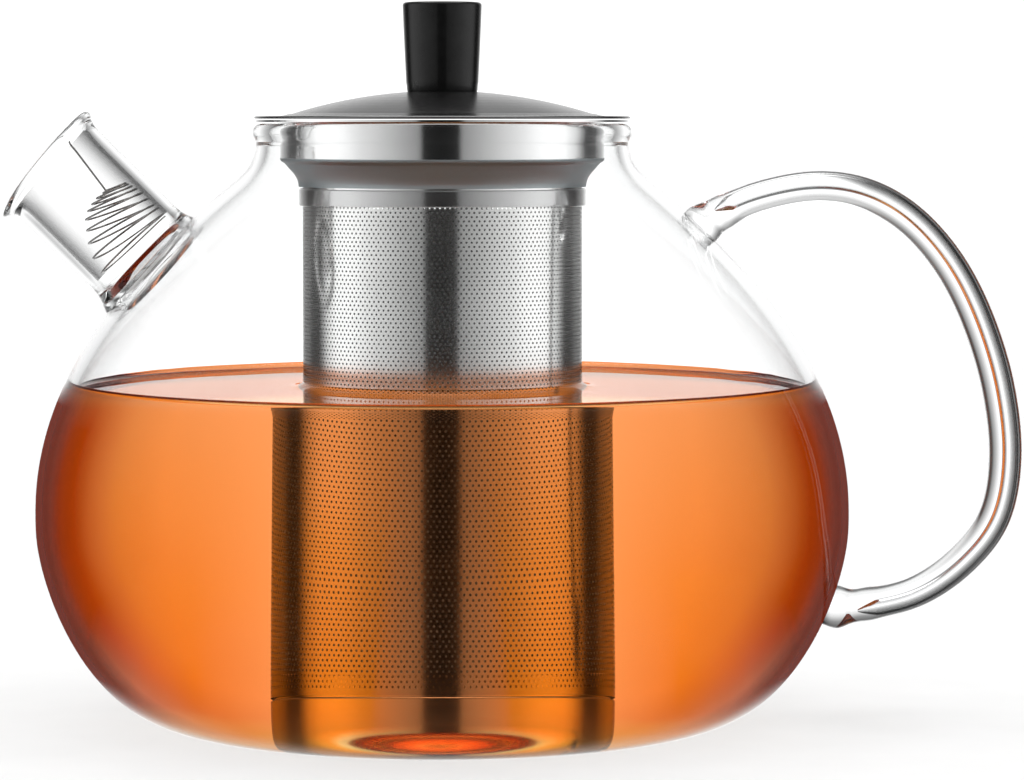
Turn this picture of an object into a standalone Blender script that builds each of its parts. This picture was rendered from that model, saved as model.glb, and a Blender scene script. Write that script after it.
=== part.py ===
"""Glass teapot with a lift-out steel infuser, a steel lid and a wire spout filter.

Metres, +Z up. The origin is the centre of the flat base, on the axis of the bowl.
The spout points to -X and the handle to +X. Dimensions below are in millimetres.
"""

import math

import bmesh
import bpy
from mathutils import Matrix, Vector

MM = 0.001

# ---------------------------------------------------------------- driving dimensions (mm)
GAP = 0.3  # clearance kept between touching pieces

# bowl
BASE_R = 52.0  # flat base
BELLY_R = 83.3  # largest radius
BELLY_LOW_Z = 40.0  # the lower wall ends here
BELLY_HIGH_Z = 44.0  # the upper wall starts here
LOWER_POWER_Z = 1.52  # how square the lower wall is
LOWER_POWER_R = 2.13
SHOULDER_SPAN = 95.7  # height over which the upper parabola would close
NECK_R = 38.2

RIM_TOP_Z = 122.8
RIM_R = 38.6
GROOVE_R = 37.7
WALL = 2.3  # glass thickness
FLOOR = 2.6

# spout: a straight tube square to the shoulder
SPOUT_TILT = 45.0  # degrees above the horizontal
SPOUT_ROOT = (-62.2, 96.4)  # x, z where its axis leaves the shoulder
SPOUT_LEN = 27.0
SPOUT_R = 11.8
SPOUT_MOUTH_R = 13.0
SPOUT_BORE_R = 10.0
SPOUT_FOOT_R = 12.9

# handle: a bent glass rod in the plane y = 0
HANDLE_R = 3.15
HANDLE_FOOT_R = 4.3
HANDLE_STATIONS = (  # x, z of the rod's centre line, from the shoulder to the belly
    (49.0, 98.6), (55.6, 103.7), (64.4, 107.7), (75.8, 109.9), (86.0, 108.7),
    (95.2, 103.8), (103.2, 95.2), (109.3, 84.0), (113.9, 69.8), (115.7, 55.0),
    (113.7, 42.4), (107.2, 33.3), (97.6, 26.6), (86.2, 23.8), (76.0, 23.4),
)

# wire filter in the spout: a beehive coil that leans towards the upright as it narrows
WIRE_R = 0.25
COIL_STATIONS = (  # one a turn, from the bottom: centre x and z, tilt in degrees, radius
    (-62.55, 97.3, 46.0, 8.6), (-63.75, 98.8, 38.0, 8.6), (-65.15, 101.1, 32.0, 8.2),
    (-65.85, 102.8, 26.0, 7.5), (-66.65, 104.7, 23.0, 6.9), (-67.15, 106.3, 22.0, 6.3),
    (-67.35, 107.5, 22.0, 5.2), (-67.45, 108.4, 22.0, 4.2), (-67.25, 109.2, 22.0, 3.2),
    (-66.85, 109.8, 22.0, 2.2),
)
TAIL_END = (-76.8, 119.6)  # x, z

# infuser
SHEET = 0.4
FLANGE_R = 38.4
FLANGE_TOP_Z = RIM_TOP_Z + GAP + SHEET
COLLAR_R = 33.2
COLLAR_CYL_Z = 115.5
CONE_LOW_Z = 110.6
BAND_R = 29.4
BAND_LOW_Z = 105.8
TUBE_R = 28.6
TUBE_LOW_Z = 15.9
CUP_BOTTOM_Z = 7.3

# lid
LID_SHEET = 0.5
BRIM_R = 38.4
BRIM_LOW_Z = FLANGE_TOP_Z + GAP
DOME_R = 32.2
DOME_TOP_Z = 129.5
SKIRT_R = 32.3
SKIRT_LOW_Z = 116.5
HOLE_R = 2.3

# knob and its fixing
KNOB_LOW_Z = DOME_TOP_Z + GAP
KNOB_TOP_Z = 147.5
KNOB_LOW_R = 7.3
KNOB_TOP_R = 8.1
KNOB_EDGE = 0.6
INSERT_R = 3.2
INSERT_LEN = 9.6
SCREW_R = 2.0
SCREW_HEAD_R = 3.8
SCREW_HEAD_T = 2.0
WASHER_R = 5.0
WASHER_T = 0.5

ROUND = 40  # facets round the large turned pieces


# ---------------------------------------------------------------- scene and materials
for old in list(bpy.data.objects):
    bpy.data.objects.remove(old)

parts = bpy.data.collections.new("glass_teapot")
cutters = bpy.data.collections.new("cutters")
for group in (parts, cutters):
    bpy.context.scene.collection.children.link(group)


def principled(name, colour, rough, metallic=0.0, transmission=0.0):
    mat = bpy.data.materials.new(name)
    mat.use_nodes = True
    shader = mat.node_tree.nodes["Principled BSDF"]
    shader.inputs["Base Color"].default_value = (*colour, 1.0)
    shader.inputs["Roughness"].default_value = rough
    shader.inputs["Metallic"].default_value = metallic
    shader.inputs["Transmission Weight"].default_value = transmission
    shader.inputs["IOR"].default_value = 1.47 if transmission else 1.5
    return mat


def add(name, mesh, material=None, matrix=None, cutter=False):
    obj = bpy.data.objects.new(name, mesh)
    (cutters if cutter else parts).objects.link(obj)
    if matrix is not None:
        obj.matrix_world = matrix
    if material is not None and hasattr(mesh, "materials"):
        mesh.materials.append(material)
    if cutter:
        obj.hide_render = True
        obj.display_type = "WIRE"
    return obj


# ---------------------------------------------------------------- shapes
def turned(name, profile, material=None, steps=ROUND, closed=False, matrix=None, cutter=False):
    """A profile of (r, z) points in mm, outer side running downwards, turned about Z."""
    mesh = bpy.data.meshes.new(name)
    points = [(r * MM, 0.0, z * MM) for r, z in profile]
    edges = [(i, i + 1) for i in range(len(points) - 1)]
    if closed:
        edges.append((len(points) - 1, 0))
    mesh.from_pydata(points, edges, [])
    obj = add(name, mesh, material, matrix, cutter)
    screw = obj.modifiers.new("turn", "SCREW")
    screw.axis = "Z"
    screw.angle = 2 * math.pi
    screw.steps = steps
    screw.render_steps = steps
    screw.use_merge_vertices = True
    screw.merge_threshold = 0.00001
    screw.use_smooth_shade = True
    return obj


def cut(obj, cutter_obj, name="cut"):
    mod = obj.modifiers.new(name, "BOOLEAN")
    mod.operation = "DIFFERENCE"
    mod.solver = "EXACT"
    mod.object = cutter_obj
    return mod


def to_mesh(curve_obj, material):
    """A curve object as a mesh object of the same name, with its caps welded on."""
    bpy.context.view_layer.update()
    graph = bpy.context.evaluated_depsgraph_get()
    mesh = bpy.data.meshes.new_from_object(curve_obj.evaluated_get(graph), depsgraph=graph)
    work = bmesh.new()
    work.from_mesh(mesh)
    bmesh.ops.remove_doubles(work, verts=work.verts, dist=0.000002)
    bmesh.ops.recalc_face_normals(work, faces=work.faces)
    work.to_mesh(mesh)
    work.free()
    name, matrix = curve_obj.name, curve_obj.matrix_world.copy()
    bpy.data.objects.remove(curve_obj)
    mesh.name = name
    mesh.materials.clear()
    return add(name, mesh, material, matrix)


def rod(name, points, radius, material, bevel_resolution=2, matrix=None):
    """A round rod along (x, y, z, thickness factor) points in mm, as a mesh."""
    curve = bpy.data.curves.new(name, "CURVE")
    curve.dimensions = "3D"
    curve.bevel_depth = radius * MM
    curve.bevel_resolution = bevel_resolution
    curve.use_fill_caps = True
    spline = curve.splines.new("POLY")
    spline.points.add(len(points) - 1)
    for slot, (x, y, z, f) in zip(spline.points, points):
        slot.co = (x * MM, y * MM, z * MM, 1.0)
        slot.radius = f
    obj = add(name, curve, None, matrix)
    return to_mesh(obj, material)


def smooth_path(stations, per_span):
    """Points on a Catmull-Rom curve through the stations."""
    n = len(stations)
    out = []
    for i in range(n - 1):
        p0 = stations[max(i - 1, 0)]
        p1, p2 = stations[i], stations[i + 1]
        p3 = stations[min(i + 2, n - 1)]
        for j in range(per_span):
            t = j / per_span
            out.append(tuple(
                0.5 * (2 * b + (c - a) * t + (2 * a - 5 * b + 4 * c - d) * t * t
                       + (3 * b - a - 3 * c + d) * t ** 3)
                for a, b, c, d in zip(p0, p1, p2, p3)
            ))
    out.append(tuple(stations[-1]))
    return out


def offset(points, distance):
    """The (r, z) polyline moved sideways, to the left of its direction."""
    out = []
    for i, (r, z) in enumerate(points):
        a = points[max(i - 1, 0)]
        b = points[min(i + 1, len(points) - 1)]
        dr, dz = b[0] - a[0], b[1] - a[1]
        length = math.hypot(dr, dz)
        out.append((r - dz / length * distance, z + dr / length * distance))
    return out


def belly_wall(lower_steps, upper_steps, fillet_steps):
    """The bowl's outer side, from the edge of the base up to the foot of the neck."""
    wall = []
    for i in range(lower_steps + 1):
        th = math.pi / 2 * i / lower_steps
        r = BASE_R + (BELLY_R - BASE_R) * math.sin(th) ** (2 / LOWER_POWER_R)
        z = BELLY_LOW_Z * (1 - max(math.cos(th), 0.0) ** (2 / LOWER_POWER_Z))
        wall.append((r, z))
    # The upper wall is a parabola. Its slope where the fillet meets it sets the fillet's start.
    join_z = 112.6
    for i in range(upper_steps + 1):
        z = BELLY_HIGH_Z + (join_z - BELLY_HIGH_Z) * (i / upper_steps) ** 0.85
        wall.append((BELLY_R * (1 - ((z - BELLY_HIGH_Z) / SHOULDER_SPAN) ** 2), z))
    r0, z0 = wall[-1]
    slope = 2 * BELLY_R * (z0 - BELLY_HIGH_Z) / SHOULDER_SPAN ** 2
    tilt = math.atan(slope)  # lean from the vertical
    radius = (r0 - NECK_R) / (1 - math.cos(tilt))
    for i in range(1, fillet_steps + 1):
        a = tilt * (1 - i / fillet_steps)
        wall.append((
            NECK_R + radius * (1 - math.cos(a)),
            z0 + radius * (math.sin(tilt) - math.sin(a)),
        ))
    return wall


wall = belly_wall(8, 8, 3)
neck_foot_z = wall[-1][1]

glass = principled("glass_bowl", (0.96, 0.98, 0.98), 0.02, transmission=1.0)
glass_spout = principled("glass_spout", (0.96, 0.98, 0.98), 0.02, transmission=1.0)
glass_handle = principled("glass_handle", (0.96, 0.98, 0.98), 0.02, transmission=1.0)
wire_steel = principled("wire_steel", (0.62, 0.61, 0.59), 0.2, 1.0)
collar_steel = principled("collar_steel", (0.74, 0.74, 0.74), 0.22, 1.0)
band_steel = principled("band_steel", (0.74, 0.74, 0.74), 0.2, 1.0)
mesh_steel = principled("perforated_steel", (0.55, 0.55, 0.55), 0.35, 1.0)
cup_steel = principled("cup_steel", (0.7, 0.7, 0.7), 0.28, 1.0)
lid_steel = principled("lid_steel", (0.8, 0.8, 0.8), 0.12, 1.0)
skirt_steel = principled("skirt_steel", (0.74, 0.74, 0.74), 0.25, 1.0)
black = principled("knob_black", (0.01, 0.01, 0.01), 0.12)
brass = principled("insert_brass", (0.72, 0.55, 0.26), 0.3, 1.0)
zinc = principled("screw_steel", (0.7, 0.7, 0.7), 0.3, 1.0)
washer_steel = principled("washer_steel", (0.7, 0.7, 0.7), 0.35, 1.0)

# ---------------------------------------------------------------- glass pot
# The solid inside the bowl's outer side, a little oversize: what is fused on is cut back to it.
clear_wall = offset([(BASE_R - 1.0, 0.0), *wall], -GAP)
clear_up = [*clear_wall, (NECK_R + GAP, RIM_TOP_Z)]
bowl_clear = turned(
    "bowl_clearance", [(0.0, RIM_TOP_Z), *reversed(clear_up), (0.0, -GAP)], cutter=True,
)

root = Vector((SPOUT_ROOT[0] * MM, 0.0, SPOUT_ROOT[1] * MM))
lean = math.radians(90.0 - SPOUT_TILT)
spout_frame = Matrix.Translation(root) @ Matrix.Rotation(-lean, 4, "Y")

outer = [
    (RIM_R - 1.4, RIM_TOP_Z), (RIM_R - 0.35, RIM_TOP_Z - 0.5), (RIM_R, RIM_TOP_Z - 1.7),
    (RIM_R - 0.3, RIM_TOP_Z - 3.0), (GROOVE_R, RIM_TOP_Z - 3.9), (NECK_R, RIM_TOP_Z - 4.8),
    *reversed(wall), (0.0, 0.0),
]
inner = [
    (0.0, FLOOR), (BASE_R * 0.97, FLOOR), *offset(wall, WALL)[1:],
    (NECK_R - WALL, RIM_TOP_Z - 2.4), (NECK_R - WALL + 0.35, RIM_TOP_Z - 0.7),
]
bowl = turned("bowl", [*inner, *outer], glass)
bore = add("spout_hole", bpy.data.meshes.new("spout_hole"), matrix=spout_frame, cutter=True)
work = bmesh.new()
bmesh.ops.create_cone(
    work, cap_ends=True, segments=32, radius1=SPOUT_BORE_R * MM, radius2=SPOUT_BORE_R * MM,
    depth=30 * MM,
)
work.to_mesh(bore.data)
work.free()
cut(bowl, bore)

tube_profile = [
    (SPOUT_BORE_R, -9.0), (SPOUT_BORE_R, SPOUT_LEN - 5.5),
    (SPOUT_BORE_R + 0.4, SPOUT_LEN - 2.6), (SPOUT_BORE_R + 1.5, SPOUT_LEN - 0.5),
    (SPOUT_MOUTH_R - 0.9, SPOUT_LEN), (SPOUT_MOUTH_R, SPOUT_LEN - 0.8),
    (SPOUT_MOUTH_R - 0.6, SPOUT_LEN - 2.6), (SPOUT_R, SPOUT_LEN - 5.5),
    (SPOUT_R, 1.4), (SPOUT_R + 0.25, -0.6), (SPOUT_FOOT_R, -2.2), (SPOUT_FOOT_R, -9.0),
]
spout = turned("spout", tube_profile, glass_spout, steps=36, closed=True, matrix=spout_frame)
cut(spout, bowl_clear)

path = smooth_path(HANDLE_STATIONS, 3)
handle_points = []
for i, (x, z) in enumerate(path):
    from_end = min(i, len(path) - 1 - i)
    swell = max(0.0, 1.0 - from_end / 6.0)
    factor = 1.0 + (HANDLE_FOOT_R / HANDLE_R - 1.0) * swell
    handle_points.append((x, 0.0, z, factor))
handle = rod("handle", handle_points, HANDLE_R, glass_handle, bevel_resolution=4)
cut(handle, bowl_clear)

# ---------------------------------------------------------------- wire filter
per_turn = 14
turns = len(COIL_STATIONS) - 1
coil = []
for i, (cx, cz, tilt, r) in enumerate(smooth_path(COIL_STATIONS, per_turn)):
    a = 2 * math.pi * i / per_turn
    slope = math.radians(tilt)
    across = r * math.cos(a)
    coil.append((cx + across * math.cos(slope), r * math.sin(a), cz + across * math.sin(slope), 1.0))
# Half a turn more brings the wire to the lower side, where it bends up into the tail.
cx, cz, tilt, r = COIL_STATIONS[-1]
slope = math.radians(tilt)
for i in range(1, per_turn // 2 + 1):
    a = 2 * math.pi * i / per_turn
    grow = r * (1.0 + 0.05 * i / per_turn)
    rise = 0.35 * i / per_turn
    across = grow * math.cos(a)
    coil.append((
        cx + across * math.cos(slope), grow * math.sin(a), cz + rise + across * math.sin(slope), 1.0,
    ))
x0, y0, z0, _ = coil[-1]
for t in (0.04, 0.1, 0.3, 0.65, 1.0):
    coil.append((x0 + (TAIL_END[0] - x0) * t, y0 * (1 - t) - 0.3 * math.sin(math.pi * t),
                 z0 + (TAIL_END[1] - z0) * t, 1.0))
spout_filter = rod("spout_filter", coil, WIRE_R, wire_steel, bevel_resolution=1)

# ---------------------------------------------------------------- infuser
infuser_axis = bpy.data.objects.new("infuser_axis", None)
parts.objects.link(infuser_axis)

flange_low = FLANGE_TOP_Z - SHEET
collar = turned("infuser_collar", [
    (COLLAR_R - SHEET, FLANGE_TOP_Z - 0.6), (COLLAR_R - SHEET + 0.5, FLANGE_TOP_Z),
    (FLANGE_R, FLANGE_TOP_Z), (FLANGE_R, flange_low), (COLLAR_R + 0.4, flange_low),
    (COLLAR_R, flange_low - 0.5), (COLLAR_R, COLLAR_CYL_Z), (COLLAR_R - 0.4, COLLAR_CYL_Z - 0.8),
    (BAND_R + 0.1, CONE_LOW_Z + 0.5), (BAND_R, CONE_LOW_Z), (BAND_R - SHEET, CONE_LOW_Z),
    (BAND_R - SHEET + 0.1, CONE_LOW_Z + 0.7), (COLLAR_R - SHEET - 0.4, COLLAR_CYL_Z - 0.6),
    (COLLAR_R - SHEET, COLLAR_CYL_Z + 0.2),
], collar_steel, closed=True)
band = turned("infuser_band", [
    (TUBE_R + GAP, CONE_LOW_Z - GAP), (BAND_R - 0.1, CONE_LOW_Z - GAP),
    (BAND_R, CONE_LOW_Z - GAP - 0.2), (BAND_R, BAND_LOW_Z + 0.2), (BAND_R - 0.1, BAND_LOW_Z),
    (TUBE_R + GAP, BAND_LOW_Z),
], band_steel, closed=True)
tube = turned("infuser_tube", [
    (TUBE_R - SHEET, CONE_LOW_Z - 0.5), (TUBE_R, CONE_LOW_Z - 0.5),
    (TUBE_R, 60.0), (TUBE_R, TUBE_LOW_Z), (TUBE_R - SHEET, TUBE_LOW_Z), (TUBE_R - SHEET, 60.0),
], mesh_steel, closed=True)
step_r = TUBE_R - SHEET - GAP
infuser_base = turned("infuser_base", [
    (0.0, CUP_BOTTOM_Z + SHEET), (TUBE_R - 4.0, CUP_BOTTOM_Z + SHEET),
    (TUBE_R - 2.0, CUP_BOTTOM_Z + 0.9), (TUBE_R - 0.9, CUP_BOTTOM_Z + 2.0),
    (TUBE_R - SHEET, CUP_BOTTOM_Z + 4.0), (TUBE_R - SHEET, TUBE_LOW_Z - 1.0),
    (step_r - SHEET, TUBE_LOW_Z - 0.5), (step_r - SHEET, TUBE_LOW_Z + 3.0),
    (step_r, TUBE_LOW_Z + 3.0), (step_r, TUBE_LOW_Z - GAP), (TUBE_R, TUBE_LOW_Z - GAP - 0.2),
    (TUBE_R, CUP_BOTTOM_Z + 4.0), (TUBE_R - 0.5, CUP_BOTTOM_Z + 2.0),
    (TUBE_R - 1.8, CUP_BOTTOM_Z + 0.6), (TUBE_R - 4.0, CUP_BOTTOM_Z), (0.0, CUP_BOTTOM_Z),
], cup_steel)
for piece in (collar, band, tube, infuser_base):
    piece.parent = infuser_axis

# ---------------------------------------------------------------- lid
lid_axis = bpy.data.objects.new("lid_axis", None)
parts.objects.link(lid_axis)

brim_top = BRIM_LOW_Z + LID_SHEET
rise = DOME_TOP_Z - brim_top
cap_r = (DOME_R ** 2 + rise ** 2) / (2 * rise)


def dome_z(r, drop=0.0):
    return DOME_TOP_Z - cap_r + math.sqrt((cap_r - drop) ** 2 - r ** 2)


rings = [HOLE_R, 11.0, 19.0, 26.5]
over = [(r, dome_z(r)) for r in rings]
under = [(r, dome_z(r, LID_SHEET)) for r in reversed(rings)]
lid_dome = turned("lid_dome", [
    *over, (DOME_R, brim_top), (BRIM_R - 0.2, brim_top), (BRIM_R, brim_top - 0.2),
    (BRIM_R, BRIM_LOW_Z), (DOME_R - 0.1, BRIM_LOW_Z), *under,
], lid_steel, closed=True)
lid_skirt = turned("lid_skirt", [
    (SKIRT_R - LID_SHEET, BRIM_LOW_Z - GAP), (SKIRT_R, BRIM_LOW_Z - GAP),
    (SKIRT_R, SKIRT_LOW_Z + 0.4), (SKIRT_R - 0.3, SKIRT_LOW_Z), (SKIRT_R - LID_SHEET, SKIRT_LOW_Z),
], skirt_steel, closed=True)
socket_r = INSERT_R + GAP
socket_top = KNOB_LOW_Z + INSERT_LEN + 2 * GAP
knob = turned("knob", [
    (0.0, KNOB_TOP_Z), (KNOB_TOP_R - KNOB_EDGE, KNOB_TOP_Z),
    (KNOB_TOP_R - 0.15, KNOB_TOP_Z - 0.2), (KNOB_TOP_R, KNOB_TOP_Z - KNOB_EDGE),
    (KNOB_LOW_R, KNOB_LOW_Z + KNOB_EDGE), (KNOB_LOW_R - KNOB_EDGE, KNOB_LOW_Z),
    (socket_r, KNOB_LOW_Z), (socket_r, socket_top), (0.0, socket_top),
], black, steps=40)
knob_insert = turned("knob_insert", [
    (HOLE_R, KNOB_LOW_Z + GAP + INSERT_LEN), (INSERT_R, KNOB_LOW_Z + GAP + INSERT_LEN),
    (INSERT_R, KNOB_LOW_Z + GAP), (HOLE_R, KNOB_LOW_Z + GAP),
], brass, steps=24, closed=True)
# Under the dome: washer, then the screw's head.
dome_under = dome_z(WASHER_R, LID_SHEET)
washer_top = dome_under - GAP
washer = turned("knob_washer", [
    (HOLE_R, washer_top), (WASHER_R, washer_top), (WASHER_R, washer_top - WASHER_T),
    (HOLE_R, washer_top - WASHER_T),
], washer_steel, steps=24, closed=True)
head_top = washer_top - WASHER_T - GAP
head_low = head_top - SCREW_HEAD_T
screw = turned("knob_screw", [
    (0.0, KNOB_LOW_Z + INSERT_LEN - 0.6), (SCREW_R - 0.5, KNOB_LOW_Z + INSERT_LEN - 0.6),
    (SCREW_R, KNOB_LOW_Z + INSERT_LEN - 1.2), (SCREW_R, head_top), (SCREW_HEAD_R, head_top),
    (SCREW_HEAD_R, head_low + 0.8), (SCREW_HEAD_R - 0.9, head_low + 0.1),
    (SCREW_HEAD_R - 1.6, head_low), (0.0, head_low),
], zinc, steps=24)
for turn in (0, 1):
    mesh = bpy.data.meshes.new(f"driver_slot_{turn}")
    slot = add(
        mesh.name, mesh,
        matrix=Matrix.Translation((0, 0, head_low * MM)) @ Matrix.Rotation(turn * math.pi / 2, 4, "Z"),
        cutter=True,
    )
    work = bmesh.new()
    bmesh.ops.create_cube(work, size=1.0)
    bmesh.ops.scale(work, vec=(4.0 * MM, 0.9 * MM, 2.2 * MM), verts=work.verts)
    work.to_mesh(mesh)
    work.free()
    cut(screw, slot, f"slot_{turn}")
for piece in (lid_dome, lid_skirt, knob, knob_insert, washer, screw):
    piece.parent = lid_axis

bpy.context.view_layer.update()
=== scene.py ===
"""Looks of the glass teapot: glass, tea, perforated infuser, lid, spout filter, floor and light."""
import math

import bmesh
import bpy
import numpy as np
from mathutils import Matrix, Vector


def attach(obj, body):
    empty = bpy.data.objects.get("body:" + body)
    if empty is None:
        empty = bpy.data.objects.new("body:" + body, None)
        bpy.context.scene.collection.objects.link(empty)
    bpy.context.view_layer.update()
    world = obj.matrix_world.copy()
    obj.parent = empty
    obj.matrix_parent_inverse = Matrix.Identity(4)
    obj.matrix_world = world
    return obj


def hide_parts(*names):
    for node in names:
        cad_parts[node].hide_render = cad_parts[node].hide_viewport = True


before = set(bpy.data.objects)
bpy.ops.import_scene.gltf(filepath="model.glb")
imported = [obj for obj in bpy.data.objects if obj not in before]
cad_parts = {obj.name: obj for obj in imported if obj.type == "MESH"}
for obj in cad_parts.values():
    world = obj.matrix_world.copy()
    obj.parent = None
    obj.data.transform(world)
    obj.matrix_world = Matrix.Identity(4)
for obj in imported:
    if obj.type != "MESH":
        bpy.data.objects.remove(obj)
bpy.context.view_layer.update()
MM = 0.001
D2R = math.pi / 180


# ------------------------------------------------------------------ node helpers
class Graph:
    """Short calls for building one shader tree."""

    def __init__(self, tree):
        self.t = tree
        tree.nodes.clear()

    def node(self, kind, **props):
        n = self.t.nodes.new(kind)
        for key, value in props.items():
            setattr(n, key, value)
        return n

    def put(self, socket, value):
        if isinstance(value, bpy.types.NodeSocket):
            self.t.links.new(value, socket)
        else:
            socket.default_value = value

    def math(self, op, a, b=None, c=None, clamp=False):
        n = self.node("ShaderNodeMath", operation=op, use_clamp=clamp)
        for i, v in enumerate((a, b, c)):
            if v is not None:
                self.put(n.inputs[i], v)
        return n.outputs[0]

    def ramp(self, fac, stops, interpolation="LINEAR"):
        n = self.node("ShaderNodeValToRGB")
        n.color_ramp.interpolation = interpolation
        e = n.color_ramp.elements
        while len(e) > len(stops):
            e.remove(e[-1])
        while len(e) < len(stops):
            e.new(1.0)
        for el, (pos, col) in zip(e, stops):
            el.position = pos
            el.color = (*col, 1.0) if isinstance(col, tuple) else (col, col, col, 1.0)
        self.put(n.inputs[0], fac)
        return n.outputs[0]

    def mapping(self, scale=(1, 1, 1), source="Object"):
        c = self.node("ShaderNodeTexCoord")
        m = self.node("ShaderNodeMapping")
        self.put(m.inputs["Vector"], c.outputs[source])
        m.inputs["Scale"].default_value = scale
        return m.outputs[0]

    def noise(self, vector, scale, detail=3.0, rough=0.55):
        n = self.node("ShaderNodeTexNoise")
        self.put(n.inputs["Vector"], vector)
        n.inputs["Scale"].default_value = scale
        n.inputs["Detail"].default_value = detail
        n.inputs["Roughness"].default_value = rough
        return n.outputs["Fac"]

    def bump(self, height, strength, distance):
        n = self.node("ShaderNodeBump")
        n.inputs["Strength"].default_value = strength
        n.inputs["Distance"].default_value = distance
        self.put(n.inputs["Height"], height)
        return n.outputs[0]

    def mix(self, fac, a, b):
        n = self.node("ShaderNodeMix", data_type="RGBA")
        self.put(n.inputs[0], fac)
        self.put(n.inputs[6], a)
        self.put(n.inputs[7], b)
        return n.outputs[2]


def new_material(name):
    mat = bpy.data.materials.new(name)
    mat.use_nodes = True
    g = Graph(mat.node_tree)
    out = g.node("ShaderNodeOutputMaterial")
    return mat, g, out


def clear_to_shadow(g, out, shader, tint):
    """Shadow rays pass straight through, a little dimmed, so that light reaches what is inside."""
    path = g.node("ShaderNodeLightPath")
    thru = g.node("ShaderNodeBsdfTransparent")
    thru.inputs["Color"].default_value = (*tint, 1.0)
    mix = g.node("ShaderNodeMixShader")
    g.put(mix.inputs[0], path.outputs["Is Shadow Ray"])
    g.put(mix.inputs[1], shader)
    g.put(mix.inputs[2], thru.outputs[0])
    g.put(out.inputs["Surface"], mix.outputs[0])


def glass_material(name, edge=0.62, ripple=0.012, ior=1.47, shade_start=0.55, shine=0.15, filled=None):
    mat, g, out = new_material(name)
    p = g.node("ShaderNodeBsdfPrincipled")
    lw = g.node("ShaderNodeLayerWeight")
    lw.inputs["Blend"].default_value = 0.5
    # The base colour turns grey toward grazing angles, down to edge at the rim: painted shade at the glass's edges.
    col = g.ramp(lw.outputs["Facing"], [(0.0, (0.995, 0.998, 0.998)), (shade_start, (0.985, 0.992, 0.992)),
                                       (0.92, (edge, edge, edge)), (1.0, (edge * 0.8,) * 3)])
    g.put(p.inputs["Base Color"], col)
    p.inputs["Roughness"].default_value = 0.0
    p.inputs["IOR"].default_value = ior
    p.inputs["Transmission Weight"].default_value = 1.0
    p.inputs["Specular Tint"].default_value = (shine, shine, shine, 1.0)
    n = g.noise(g.mapping((1, 1, 0.6)), 26.0, 2.0)
    g.put(p.inputs["Normal"], g.bump(n, ripple, 0.01))
    look = p.outputs[0]
    if filled:
        # Below the liquor's level the wall's rim is painted dark amber instead of clear glass: painted shade for the
        # liquor's dark edge.
        coord = g.node("ShaderNodeTexCoord")
        xyz = g.node("ShaderNodeSeparateXYZ")
        g.put(xyz.inputs[0], coord.outputs["Object"])
        wet = g.ramp(xyz.outputs["Z"], [(0.0, 0.0), (0.004, 0.0), (0.012, 1.0), (filled * MM - 0.001, 1.0),
                                        (filled * MM + 0.001, 0.0), (1.0, 0.0)])
        rim = g.ramp(lw.outputs["Facing"], [(0.0, 0.0), (0.66, 0.0), (0.77, 0.75), (0.9, 0.95), (1.0, 0.95)])
        dark = g.node("ShaderNodeBsdfPrincipled")
        dark.inputs["Base Color"].default_value = (0.16, 0.013, 0.001, 1.0)
        dark.inputs["Roughness"].default_value = 1.0
        dark.inputs["Specular IOR Level"].default_value = 0.0
        join = g.node("ShaderNodeMixShader")
        g.put(join.inputs[0], g.math("MULTIPLY", wet, rim))
        g.put(join.inputs[1], look)
        g.put(join.inputs[2], dark.outputs[0])
        look = join.outputs[0]
    clear_to_shadow(g, out, look, (0.985, 0.985, 0.985))
    return mat


def steel_material(name, colour, rough, brushed=None, strength=0.04, spread=0.06, aniso=0.0, metallic=1.0):
    """Brushed or satin steel. brushed is the noise's scale along X, Y and Z."""
    mat, g, out = new_material(name)
    p = g.node("ShaderNodeBsdfPrincipled")
    p.inputs["Metallic"].default_value = metallic
    fine = g.noise(g.mapping(brushed or (300, 300, 2200)), 1.0, 4.0)
    wide = g.noise(g.mapping(), 38.0, 3.0)
    lo = tuple(c * 0.93 for c in colour)
    hi = tuple(min(c * 1.05, 1.0) for c in colour)
    g.put(p.inputs["Base Color"], g.ramp(wide, [(0.3, lo), (0.7, hi)]))
    r = g.math("MULTIPLY_ADD", fine, spread, rough - spread / 2)
    g.put(p.inputs["Roughness"], r)
    if aniso:
        p.inputs["Anisotropic"].default_value = aniso
    g.put(p.inputs["Normal"], g.bump(fine, strength, 0.0002))
    g.put(out.inputs["Surface"], p.outputs[0])
    return mat


# ------------------------------------------------------------------ mesh helpers
def obj_from(name, verts, faces, material, sharp=None, matrix=None):
    me = bpy.data.meshes.new(name)
    me.from_pydata([tuple(v) for v in verts], [], faces)
    me.validate()
    b = bmesh.new()
    b.from_mesh(me)
    bmesh.ops.recalc_face_normals(b, faces=b.faces)
    b.to_mesh(me)
    b.free()
    me.polygons.foreach_set("use_smooth", [True] * len(me.polygons))
    if sharp:
        me.set_sharp_from_angle(angle=sharp * D2R)
    if matrix is not None:
        me.transform(matrix)
    o = bpy.data.objects.new(name, me)
    bpy.context.scene.collection.objects.link(o)
    if material:
        me.materials.append(material)
    return o


def braced(profile):
    """The profile with two more points close to the ends of each long straight run, so that shading stays flat."""
    out = [profile[0]]
    for (r0, z0), (r1, z1) in zip(profile, profile[1:]):
        n = math.hypot(r1 - r0, z1 - z0)
        if n > 1.6:
            for t in (0.18 / n, 1 - 0.18 / n):
                out.append((r0 + (r1 - r0) * t, z0 + (z1 - z0) * t))
        out.append((r1, z1))
    return out


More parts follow.
